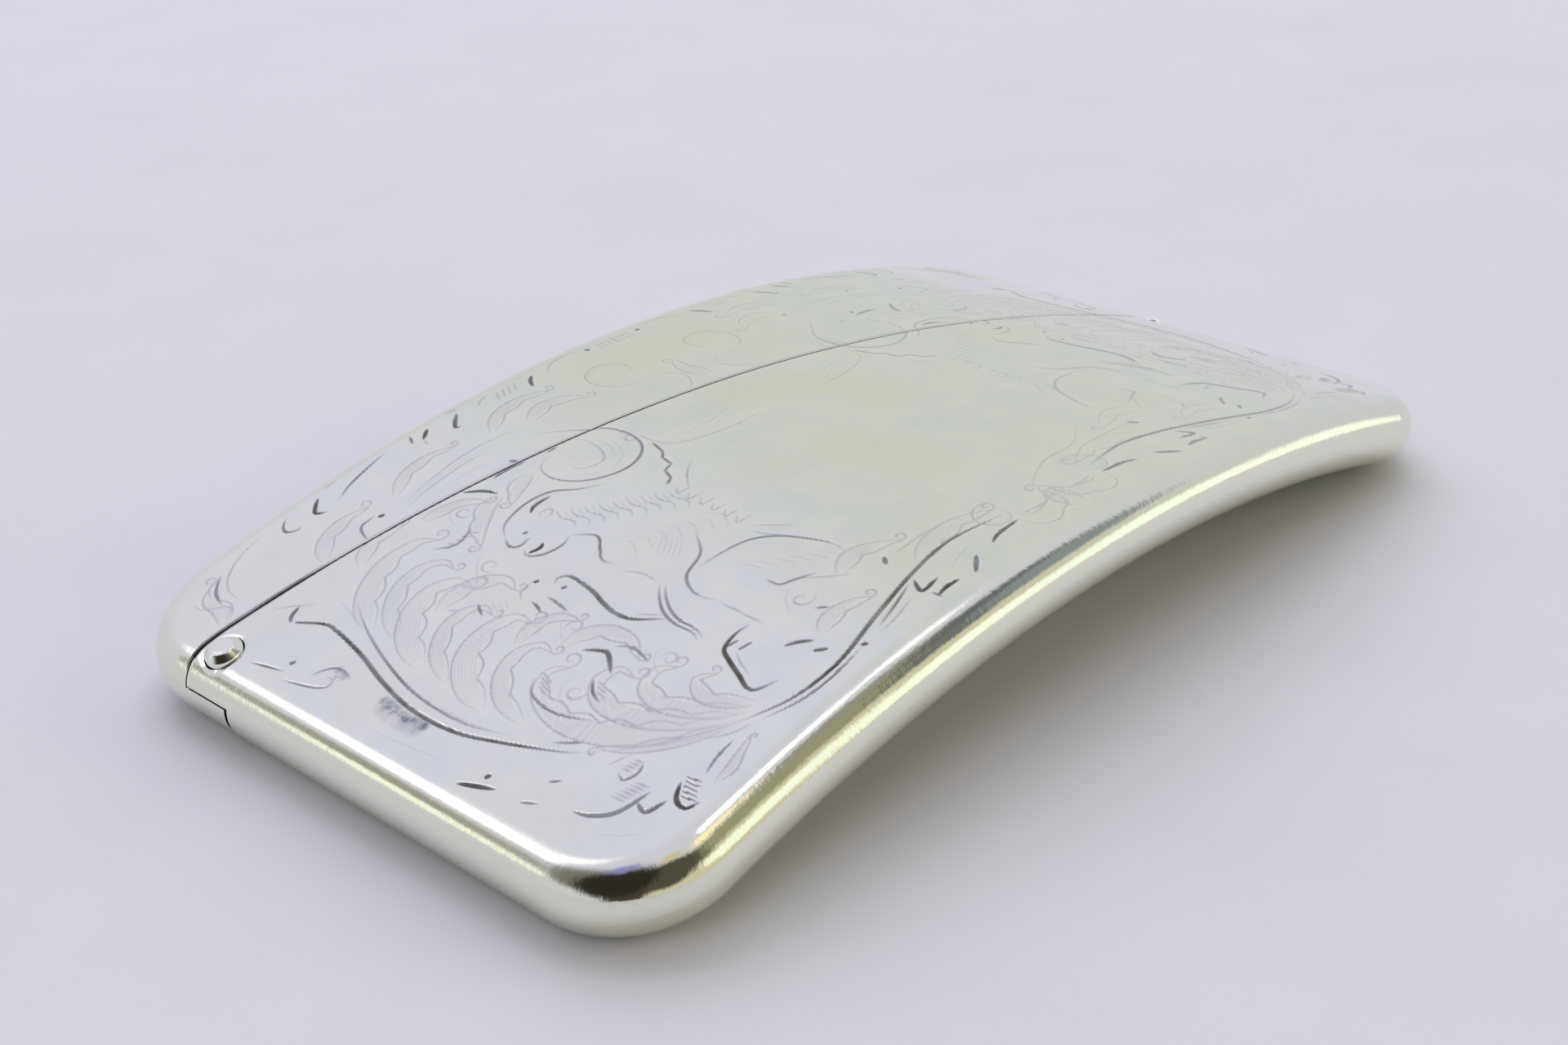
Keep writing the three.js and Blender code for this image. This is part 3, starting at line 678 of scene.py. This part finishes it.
def case_solid(name, half_thickness, pitch, edge_steps, engraved):
    """The case as a solid: a face in a fine grid, a half-round edge, and a plain back."""
    arc = np.linspace(0, math.pi / 2, int(FLAT_RADIUS * math.pi / 2 / pitch) + 2)
    inner_x = FLAT_X - FLAT_RADIUS
    middle = np.linspace(-inner_x, inner_x, int(2 * inner_x / pitch) + 1)
    bulge = FLAT_RADIUS * np.cos(arc)
    xs = np.concatenate([-inner_x - bulge[:-1], middle, inner_x + bulge[-2::-1]])
    overhang = np.clip(np.abs(xs) - inner_x, 0, FLAT_RADIUS)
    half_span = FLAT_Y - FLAT_RADIUS + np.sqrt(FLAT_RADIUS**2 - overhang**2)
    rows = int(2 * FLAT_Y / pitch) + 1

    x = np.repeat(xs[:, None], rows, 1)
    y = half_span[:, None] * np.linspace(-1, 1, rows)[None, :]
    sunk = relief.at(x, y) + eased(x, y) + waviness(x, y) if engraved else 0 * x
    points = [bend(x, y, half_thickness - sunk).reshape(-1, 3)]
    index = np.arange(x.size).reshape(x.shape)
    grid = (index[:-1, :-1], index[1:, :-1], index[1:, 1:], index[:-1, 1:])
    quads = [np.stack(grid, -1).reshape(-1, 4)]

    # The face's border, anticlockwise from its lower left corner, is swept round the edge.
    ring = np.concatenate([index[:-1, 0], index[-1, :-1], index[:0:-1, -1], index[0, :0:-1]])
    border_x, border_y = x.ravel()[ring], y.ravel()[ring]
    border_wave = waviness(border_x, border_y)
    out = np.stack([
        border_x - np.clip(border_x, -inner_x, inner_x),
        border_y - np.clip(border_y, FLAT_RADIUS - FLAT_Y, FLAT_Y - FLAT_RADIUS),
    ])
    out /= np.hypot(*out)
    count = x.size
    for angle in np.linspace(math.pi / 2, -math.pi / 2, edge_steps + 1)[1:]:
        reach = half_thickness * math.cos(angle)
        edge_x, edge_y = border_x + out[0] * reach, border_y + out[1] * reach
        fade = max(0, math.sin(angle)) ** 2
        lowered = 0
        if engraved:
            lowered = (relief.at(edge_x, edge_y) + eased(edge_x, edge_y)) * fade + border_wave * fade
        points.append(bend(edge_x, edge_y, half_thickness * math.sin(angle) - lowered))
        following = np.arange(count, count + len(ring))
        count += len(ring)
        quads.append(np.stack([ring, following, np.roll(following, -1), np.roll(ring, -1)], -1))
        ring = following

    # The back is in strips straight across.
    steps, side = len(xs) - 1, rows - 1
    lower = ring[: steps + 1]
    upper = ring[steps + side : 2 * steps + side + 1][::-1]
    strips = np.stack([lower[:-1], upper[:-1], upper[1:], lower[1:]], -1)[1:-1]
    faces = np.vstack([*quads, strips]).tolist()
    left_side = [ring[0], *ring[::-1][:side]]
    right_side = ring[steps : steps + side + 1][::-1]
    faces.append([int(i) for i in (*left_side, upper[1], lower[1])])
    faces.append([int(i) for i in (lower[-2], upper[-2], *right_side)])
    points = np.vstack(points)
    if engraved:
        points[:, 2] = np.maximum(points[:, 2], 0)  # the strips that the case rests on
    return new_object(name, points.tolist(), faces)


def middle_of(node):
    low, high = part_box(node)
    return Matrix.Translation((low + high) / 2)


KNUCKLE_RADIUS, KNUCKLE_PITCH, KNUCKLE_GAP = 0.75, 1.15, 0.05
KNUCKLE_BORE, KNUCKLE_BEVEL, PIN_BEVEL = 0.34, 0.1, 0.12

outer = case_solid("outer", HALF_THICKNESS, PITCH, EDGE_STEPS, True)
inner = case_solid("inner", HALF_THICKNESS - SHEET, 0.8, 16, False)
notch_half = 1.5 * KNUCKLE_PITCH + KNUCKLE_GAP
notch_radius = KNUCKLE_RADIUS + KNUCKLE_GAP
notch = rod("notch", notch_radius, -notch_half, notch_half, 48, middle_of("hinge_knuckle_lid"))
hole = rod("hole", BUTTON_HOLE, 0, BEYOND, 64, standing_at(BUTTON_X, BUTTON_Y))

seam_xs = np.concatenate([
    np.linspace(-HALF_LENGTH - BEYOND, -HALF_LENGTH, 4),
    np.linspace(-HALF_LENGTH, -HALF_LENGTH + HOOK_LENGTH, 24)[1:],
    np.linspace(-HALF_LENGTH + HOOK_LENGTH, HALF_LENGTH + BEYOND, 60)[1:],
])
solder = SOLDER_GAP / 2
beyond_y = HALF_WIDTH + BEYOND
TAPER_START, TAPER_LENGTH = -15, 30  # along the case


def half_gap(x):
    """Half of the seam's width. The seam closes up to half its width towards the hinge."""
    return SEAM_GAP / 2 * (1 - 0.5 * np.clip((x - TAPER_START) / TAPER_LENGTH, 0, 1))


def body_seam(x):
    return front_seam(x) - half_gap(x)


def lid_seam(x):
    return front_seam(x) + half_gap(x)


def lap_edge(x):
    return back_seam(x) - LAP_GAP


# Each shell's section: corners (y, h) in order round it.
REGIONS = {
    "body_front_shell": [
        (-beyond_y, solder), (lap_edge, solder), (lap_edge, LAP_TOP + SEAM_GAP),
        (body_seam, LAP_TOP + SEAM_GAP), (body_seam, BEYOND), (-beyond_y, BEYOND),
    ],
    "body_back_shell": [
        (-beyond_y, -BEYOND), (lap_edge, -BEYOND), (lap_edge, -solder), (-beyond_y, -solder),
    ],
    "lid_front_shell": [
        (lambda x: lid_seam(x) + SOLDER_GAP, solder), (beyond_y, solder), (beyond_y, BEYOND),
        (lid_seam, BEYOND), (lid_seam, LAP_TOP), (lambda x: lid_seam(x) + SOLDER_GAP, LAP_TOP),
    ],
    "lid_back_shell": [
        (back_seam, -BEYOND), (beyond_y, -BEYOND), (beyond_y, -solder), (lid_seam, -solder),
        (lid_seam, LAP_TOP), (back_seam, LAP_TOP),
    ],
}

cut(outer, notch)
cut(outer, inner)
shells = {}
for node, sides in REGIONS.items():
    region = bar("region", seam_xs, sides)
    shell = add(node.replace("_shell", "_sheet"), outer.data.copy())
    cut(shell, region, "INTERSECT")
    if node == "body_front_shell":
        cut(shell, hole)
    drop(region)
    shells[node] = shell
drop(outer, inner, notch, hole)


DIRT_WIDTH = 0.22
DIRT_END, DIRT_FADE = -31, 5  # where along the case it thins out, and over how far


def seam_dirt(x, y):
    """Dirt along the seam's rims, most of it towards the button's end."""
    away = np.abs(y - front_seam(x)) - SEAM_GAP / 2
    return np.clip(1.4 - away / DIRT_WIDTH, 0, 1) * np.clip((DIRT_END - x) / DIRT_FADE, 0.35, 1)


def mark(shell):
    """Gives a shell what its material reads: dirt, washes, stains, and how far down the edge it is."""
    points = np.empty(3 * len(shell.data.vertices))
    shell.data.vertices.foreach_get("co", points)
    x, y, h = unbend(points.reshape(-1, 3))
    outside = h > HALF_THICKNESS - SHEET * 0.6
    left_in = np.clip(0.8 - x / 60, 0.55, 1)  # more dirt is left towards the button's end
    values = {
        "cut": np.where(outside, np.maximum(soot.at(x, y) * left_in, seam_dirt(x, y)), 0),
        "tone": np.where(outside, tone.at(x, y), 0),
        "smudge": np.where(outside, smudge.at(x, y), 0),
        "yellowing": np.where(outside, yellowing.at(x, y), 0),
        "edge": np.clip((HALF_THICKNESS - h) / 0.6, 0, 1),
    }
    for name, data in values.items():
        layer = shell.data.attributes.new(name, "FLOAT", "POINT")
        layer.data.foreach_set("value", data.astype(np.float32))


# ---------------------------------------------------------------- materials


class Nodes:
    """A node tree, and short ways to add to it."""

    def __init__(self, tree):
        self.tree = tree

    def node(self, kind, **settings):
        made = self.tree.nodes.new(kind)
        for key, value in settings.items():
            setattr(made, key, value)
        return made

    def link(self, source, target):
        if hasattr(source, "is_output"):
            self.tree.links.new(source, target)
        else:
            target.default_value = source

    def spread(self, source, low, high, to_low, to_high, smooth=False):
        node = self.node("ShaderNodeMapRange")
        node.interpolation_type = "SMOOTHSTEP" if smooth else "LINEAR"
        ends = {"From Min": low, "From Max": high, "To Min": to_low, "To Max": to_high}
        for socket, value in ends.items():
            node.inputs[socket].default_value = value
        self.link(source, node.inputs["Value"])
        return node.outputs["Result"]

    def math(self, operation, a, b):
        node = self.node("ShaderNodeMath", operation=operation)
        self.link(a, node.inputs[0])
        self.link(b, node.inputs[1])
        return node.outputs[0]

    def times(self, a, b):
        return self.math("MULTIPLY", a, b)

    def plus(self, a, b):
        return self.math("ADD", a, b)

    def mix(self, factor, a, b):
        node = self.node("ShaderNodeMix", data_type="RGBA")
        self.link(factor, node.inputs["Factor"])
        self.link(a, node.inputs["A"])
        self.link(b, node.inputs["B"])
        return node.outputs["Result"]


class Look(Nodes):
    """A node material round one Principled shader."""

    def __init__(self, name, **sockets):
        self.material = bpy.data.materials.new(name)
        self.material.use_nodes = True
        super().__init__(self.material.node_tree)
        self.shader = self.tree.nodes["Principled BSDF"]
        self.feed(**sockets)
        self.place = self.node("ShaderNodeTexCoord").outputs["Object"]

    def value(self, name):
        return self.node("ShaderNodeAttribute", attribute_name=name).outputs["Fac"]

    def noise(self, size, stretch=(1, 1, 1), detail=3, rough=0.55):
        """Noise with features of about size, in metres, longer along the axes with more stretch."""
        mapping = self.node("ShaderNodeMapping")
        mapping.inputs["Scale"].default_value = [1 / (size * s) for s in stretch]
        noise = self.node("ShaderNodeTexNoise")
        noise.inputs["Scale"].default_value = 1
        noise.inputs["Detail"].default_value = detail
        noise.inputs["Roughness"].default_value = rough
        self.link(self.place, mapping.inputs["Vector"])
        self.link(mapping.outputs["Vector"], noise.inputs["Vector"])
        return noise.outputs["Fac"]

    def bump(self, height, distance):
        node = self.node("ShaderNodeBump")
        node.inputs["Strength"].default_value = 1
        node.inputs["Distance"].default_value = distance
        self.link(height, node.inputs["Height"])
        return node.outputs["Normal"]

    def feed(self, **sources):
        for socket, source in sources.items():
            self.link(source, self.shader.inputs[socket.replace("_", " ").title()])
        return self.material


SILVER = (0.935, 0.925, 0.88, 1)
WARM_SILVER = (0.93, 0.90, 0.80, 1)
COOL_SILVER = (0.89, 0.885, 0.88, 1)
# Edge silver, yellower and darker: partly tarnish, partly painted shade, the shaded floor's reflection
# painted into the colour.
EDGE_TARNISH_AND_PAINTED_SHADE = (0.88, 0.87, 0.75, 1)
TARNISH = (0.08, 0.065, 0.055, 1)
# A pale greenish sheen painted into matted patches, standing in for the broad reflection they catch.
PAINTED_SHEEN = (0.955, 0.945, 0.875, 1)
BLUE_TARNISH = (0.16, 0.17, 0.27, 1)
STAIN = (0.93, 0.89, 0.735, 1)
GROOVE = (0.60, 0.58, 0.63, 1)
SATIN, DULL_SATIN = (0.83, 0.82, 0.77, 1), (0.62, 0.56, 0.45, 1)
STEEL, DULL_STEEL = (0.56, 0.58, 0.60, 1), (0.42, 0.42, 0.42, 1)
FLOOR, PALE_FLOOR = (0.68, 0.675, 0.735, 1), (0.705, 0.70, 0.76, 1)
SCRATCH = 0.00001  # the height of the finest scratches, in metres


def shell_look(name):
    """Polished silver that reads a shell's marks: worn and stained on its face, with a pale painted
    sheen where it is matted, and yellower and darker at its edge, partly tarnish and partly the shaded
    floor's reflection painted on.
    """
    look = Look(name, metallic=1.0)
    cuts, washed, edge = look.value("cut"), look.value("tone"), look.value("edge")
    patches = look.noise(0.011, detail=4)
    grain = look.noise(0.0011, detail=6, rough=0.7)
    streaks = look.noise(0.00045, (1, 1, 9), 3, 0.6)
    rubs = look.noise(0.0003, (14, 1, 14), 3, 0.6)
    clouds = look.noise(0.0035, detail=5, rough=0.6)
    colour = look.mix(look.spread(clouds, 0.35, 0.65, 0, 1, True), COOL_SILVER, SILVER)
    colour = look.mix(look.spread(patches, 0.45, 0.72, 0, 0.7, True), colour, WARM_SILVER)
    # Painted shade at the edge: the colour turns yellower and darker down the edge, partly tarnish and
    # partly the shaded floor's reflection painted on.
    colour = look.mix(look.spread(edge, 0.2, 1, 0, 1), colour, EDGE_TARNISH_AND_PAINTED_SHADE)
    # Where the cuts are close the silver is matted: rougher, and given a pale painted sheen in its
    # colour.
    matte_and_sheen = look.times(washed, look.spread(clouds, 0.35, 0.62, 0.45, 1.0))
    colour = look.mix(matte_and_sheen, colour, PAINTED_SHEEN)
    stained = look.times(look.value("smudge"), look.spread(grain, 0.38, 0.6, 0.25, 1.0))
    colour = look.mix(stained, colour, BLUE_TARNISH)
    yellowed = look.times(look.value("yellowing"), look.spread(clouds, 0.35, 0.65, 0.5, 1.0))
    colour = look.mix(yellowed, colour, STAIN)
    colour = look.mix(look.spread(cuts, 0.05, 0.55, 0, 0.9), colour, GROOVE)
    deep, kept = look.spread(cuts, 0.42, 1.0, 0, 1), look.spread(clouds, 0.35, 0.6, 0.5, 0.92)
    colour = look.mix(look.times(deep, kept), colour, TARNISH)
    worn, gritty = look.spread(patches, 0.3, 0.7, 0.10, 0.17), look.spread(grain, 0.35, 0.7, -0.02, 0.05)
    rough = look.plus(worn, gritty)
    rough = look.times(rough, look.spread(edge, 0, 1, 1, 0.45))
    rough = look.plus(rough, look.times(cuts, 0.15))
    rough = look.plus(rough, look.times(matte_and_sheen, 0.12))
    height = look.plus(look.times(rubs, 0.5), look.times(grain, 0.4))
    height = look.plus(height, look.times(look.times(streaks, edge), 1.5))
    return look.feed(base_color=colour, roughness=rough, normal=look.bump(height, SCRATCH))


def satin_look(name, base, dark, low, high):
    """Brushed metal with duller patches. Its roughness lies between about low and high."""
    look = Look(name, metallic=1.0)
    patches = look.noise(0.004, detail=4)
    brushed = look.noise(0.00025, (12, 1, 1), 4, 0.6)
    colour = look.mix(look.spread(patches, 0.35, 0.75, 0, 0.7, True), base, dark)
    worn, lines = look.spread(patches, 0.3, 0.7, low, high), look.spread(brushed, 0.3, 0.7, -0.03, 0.05)
    rough = look.plus(worn, lines)
    return look.feed(base_color=colour, roughness=rough, normal=look.bump(brushed, SCRATCH))


engraved = shell_look("engraved silver")
polished = shell_look("polished silver")
inside = satin_look("inner silver", SATIN, DULL_SATIN, 0.26, 0.4)
steel = satin_look("spring steel", STEEL, DULL_STEEL, 0.2, 0.34)

LOOKS = {
    "engraved_silver": engraved,
    "polished_silver": polished,
    "inner_silver": inside,
    "spring_steel": steel,
}
SLOTS = {entry["node"]: entry["material_slot"] for entry in frame["record"]["subparts"]}
BODIES = {node: body for body, nodes in frame["record"]["behaviour"]["bodies"].items() for node in nodes}


def dress(piece, *looks):
    piece.data.materials.clear()
    for look in looks:
        piece.data.materials.append(look)


def stand_in(piece, node):
    """Puts a finished piece in a CAD node's place."""
    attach(piece, BODIES[node])
    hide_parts(node)


def finish_shell(node, shell):
    """Marks a shell, and gives its outside the node's look and its inside the inner silver."""
    mark(shell)
    dress(shell, LOOKS[SLOTS[node]], inside)
    faces = shell.data.polygons
    centres = np.empty(3 * len(faces))
    faces.foreach_get("center", centres)
    x, y, h = unbend(centres.reshape(-1, 3))
    past_x = np.maximum(np.abs(x) - (FLAT_X - FLAT_RADIUS), 0)
    past_y = np.maximum(np.abs(y) - (FLAT_Y - FLAT_RADIUS), 0)
    past = np.maximum(np.hypot(past_x, past_y) - FLAT_RADIUS, 0)
    depth = HALF_THICKNESS - np.hypot(past, h)
    faces.foreach_set("material_index", (depth > SHEET * 0.85).astype(np.int32))
    smooth(shell, 48)
    stand_in(shell, node)


BUTTON_FOOT = 1.97  # just above the spring leaf
BUTTON_SIDE, CROWN_RADIUS = BUTTON_RADIUS + 0.03, 0.85
BUTTON_LOWERED = 0.2  # from the CAD model's dome
CHAMFER_SLOPE, CHAMFER_START = 0.85, 0.05
CROWN_DROP, RING_DEPTH = 0.04, 0.014


def make_button():
    """A low button: a flat crown with a fine ring turned in it, a broad chamfer and an upright side."""
    top = HALF_THICKNESS + BUTTON_RISE - BUTTON_LOWERED

    def height(radius):
        past = max(0, radius - CROWN_RADIUS)
        fall = CHAMFER_SLOPE * past**2 / (past + CHAMFER_START)
        return top - CROWN_DROP * (radius / CROWN_RADIUS) ** 2 - fall

    chamfer = [(r, height(r)) for r in np.linspace(BUTTON_SIDE, 0.76, 16)]
    ring = [(r, height(r) - RING_DEPTH) for r in (0.71, 0.67)]
    crown = [(r, height(r)) for r in np.linspace(0.62, 0.05, 8)]
    profile = [(0, BUTTON_FOOT), (BUTTON_SIDE, BUTTON_FOOT), *chamfer, *ring, *crown, (0, top)]
    button = turned("button_dome", profile, 72, standing_at(BUTTON_X, BUTTON_Y))
    smooth(button, 50)
    dress(button, polished)
    stand_in(button, "push_button")


def make_barrel(node, bore, bevel):
    """A knuckle, or with no bore the pin, with its end rims rounded off."""
    low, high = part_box(node)
    half, radius = (high.z - low.z) / 2 / MM, (high.x - low.x) / 2 / MM
    rim = [
        (radius - bevel + bevel * math.cos(a), half - bevel + bevel * math.sin(a))
        for a in np.linspace(0, math.pi / 2, 7)
    ]
    outside = [(r, -z) for r, z in rim[::-1]] + rim
    place = middle_of(node)
    piece = turned(node.replace("hinge_", "barrel_"), [(0, -half), *outside, (0, half)], 64, place)
    if bore:
        past = 2 * half + 1
        tool = rod("bore", bore, -past, past, 48, place)
        cut(piece, tool)
        drop(tool)
    piece.data.materials.append(LOOKS[SLOTS[node]])
    smooth(piece)
    stand_in(piece, node)


for node, shell in shells.items():
    finish_shell(node, shell)
make_button()
KNUCKLES = ("hinge_knuckle_upper", "hinge_knuckle_lid", "hinge_knuckle_lower")
for node in KNUCKLES:
    make_barrel(node, KNUCKLE_BORE, KNUCKLE_BEVEL)
make_barrel("hinge_pin", 0, PIN_BEVEL)

REPLACED = (*shells, *KNUCKLES, "push_button", "hinge_pin")
for node, piece in frame["nodes"].items():
    if node not in REPLACED:
        dress(piece, LOOKS[SLOTS[node]])


# ---------------------------------------------------------------- floor, camera and light


def make_floor():
    floor = new_object("floor", [(-3, -3, 0), (3, -3, 0), (3, 3, 0), (-3, 3, 0)], [(0, 1, 2, 3)])
    look = Look("floor paper", roughness=0.6)
    fibres = look.noise(0.02, detail=6)
    tint = look.mix(look.spread(fibres, 0.3, 0.7, 0, 1), FLOOR, PALE_FLOOR)
    tooth = look.bump(look.noise(0.0008, detail=4), 2 * SCRATCH)
    dress(floor, look.feed(base_color=tint, normal=tooth))


def towards(azimuth, elevation):
    """The unit vector from the object to a viewer at these angles: azimuth from -Y towards +X, then
    elevation.
    """
    a, e = math.radians(azimuth), math.radians(elevation)
    return Vector((math.sin(a) * math.cos(e), -math.cos(a) * math.cos(e), math.sin(e)))


CAMERA_PLACE = (-0.1090, -0.1002, 0.0783)
CAMERA_AZIMUTH, CAMERA_ELEVATION, CAMERA_ROLL = -45.93, 26.91, -2.21
LENS, SENSOR_WIDTH = 50.64, 36  # millimetres


def make_camera():
    camera = add("camera", bpy.data.cameras.new("camera"))
    camera.data.lens = LENS
    camera.data.sensor_width = SENSOR_WIDTH
    camera.data.clip_start = 0.01
    camera.location = CAMERA_PLACE
    camera.rotation_mode = "QUATERNION"
    level = (-towards(CAMERA_AZIMUTH, CAMERA_ELEVATION)).to_track_quat("-Z", "Y").to_matrix()
    aim = level @ Matrix.Rotation(math.radians(CAMERA_ROLL), 3, "Z")
    camera.rotation_quaternion = aim.to_quaternion()
    bpy.context.scene.camera = camera


def make_light(name, azimuth, elevation, distance, size, power, colour):
    """A square lamp that lights surfaces but isn't seen in their reflections."""
    light = add(name, bpy.data.lights.new(name, "AREA"))
    light.data.energy = power
    light.data.size = size
    light.data.color = colour
    way = towards(azimuth, elevation)
    light.location = way * distance
    light.rotation_mode = "QUATERNION"
    light.rotation_quaternion = way.to_track_quat("Z", "Y")
    light.visible_glossy = False


# The room that the silver mirrors, as seen from the case. Each patch has a bearing from +X towards +Y,
# an elevation, and the radius of its core and of its soft rim, all in degrees, and a colour.
PALE_ROOM = (0.64, 0.66, 0.72, 1)
ROOM = [
    (-90, 6, 30, 70, (0.66, 0.62, 0.46)),
    (40, 32, 18, 45, (0.62, 0.655, 0.62)),
    (80, 48, 14, 32, (0.68, 0.70, 0.79)),
    (158, 38, 12, 26, (0.20, 0.19, 0.17)),
    (-90, 42, 9, 18, (0.20, 0.21, 0.14)),
    (-122, 34, 21, 31, (0.085, 0.08, 0.06)),
    (-152, 10, 12, 21, (0.06, 0.05, 0.045)),
    (-168, 36, 21, 34, (0.03, 0.025, 0.02)),
    (170, 62, 3, 10, (0.26, 0.26, 0.52)),
    (-44, 42, 10, 18, (0.15, 0.16, 0.17)),
    (-36, 33, 5, 11, (0.26, 0.30, 0.33)),
    (-66, 45, 7, 15, (0.33, 0.33, 0.22)),
    (-50, 57, 5, 10, (0.32, 0.31, 0.27)),
    (-130, 67, 3, 8, (0.66, 0.56, 0.33)),
    (-76, 66, 3, 9, (1.15, 1.0, 0.60)),
    (-80, 18, 4, 11, (1.0, 1.07, 0.85)),
    (-68, 17, 5, 12, (1.05, 1.12, 0.98)),
    (-54, 9, 5, 11, (1.08, 1.15, 1.0)),
    (-40, 6, 5, 12, (1.05, 1.15, 1.05)),
    (-26, 1, 6, 13, (1.1, 1.15, 1.05)),
    (-38, 77, 2, 7, (1.5, 1.5, 1.5)),
    (-22, 71, 2, 7, (1.35, 1.35, 1.35)),
    (-11, 62, 2, 7, (1.2, 1.22, 1.25)),
    (129, 24, 3, 8, (0.36, 0.35, 0.29)),
    (134, 14, 2, 7, (1.0, 1.08, 0.92)),
    (110, 54, 3, 9, (1.2, 1.2, 1.2)),
    (116, 41, 4, 10, (1.7, 1.7, 1.65)),
]


def make_room():
    world = bpy.data.worlds.new("room")
    bpy.context.scene.world = world
    world.use_nodes = True
    nodes = Nodes(world.node_tree)
    way = nodes.node("ShaderNodeTexCoord").outputs["Generated"]
    colour = PALE_ROOM
    for bearing, elevation, core, rim, tint in ROOM:
        along = nodes.node("ShaderNodeVectorMath", operation="DOT_PRODUCT")
        along.inputs[1].default_value = towards(bearing + 90, elevation)
        nodes.link(way, along.inputs[0])
        outer_edge, inner_edge = math.cos(math.radians(rim)), math.cos(math.radians(core))
        patch = nodes.spread(along.outputs["Value"], outer_edge, inner_edge, 0, 1, True)
        colour = nodes.mix(patch, colour, (*tint, 1))
    nodes.link(colour, nodes.tree.nodes["Background"].inputs["Color"])


make_floor()
make_camera()
make_room()
make_light("ceiling", 143, 50, 1.0, 0.95, 4.6, (0.955, 0.98, 1.12))
make_light("side", 285, 40, 0.8, 0.5, 1.2, (1, 0.98, 0.97))
make_light("fill", 45, 18, 1.0, 0.6, 2.4, (1, 0.86, 0.6))
bpy.context.scene.view_settings.view_transform = "Standard"
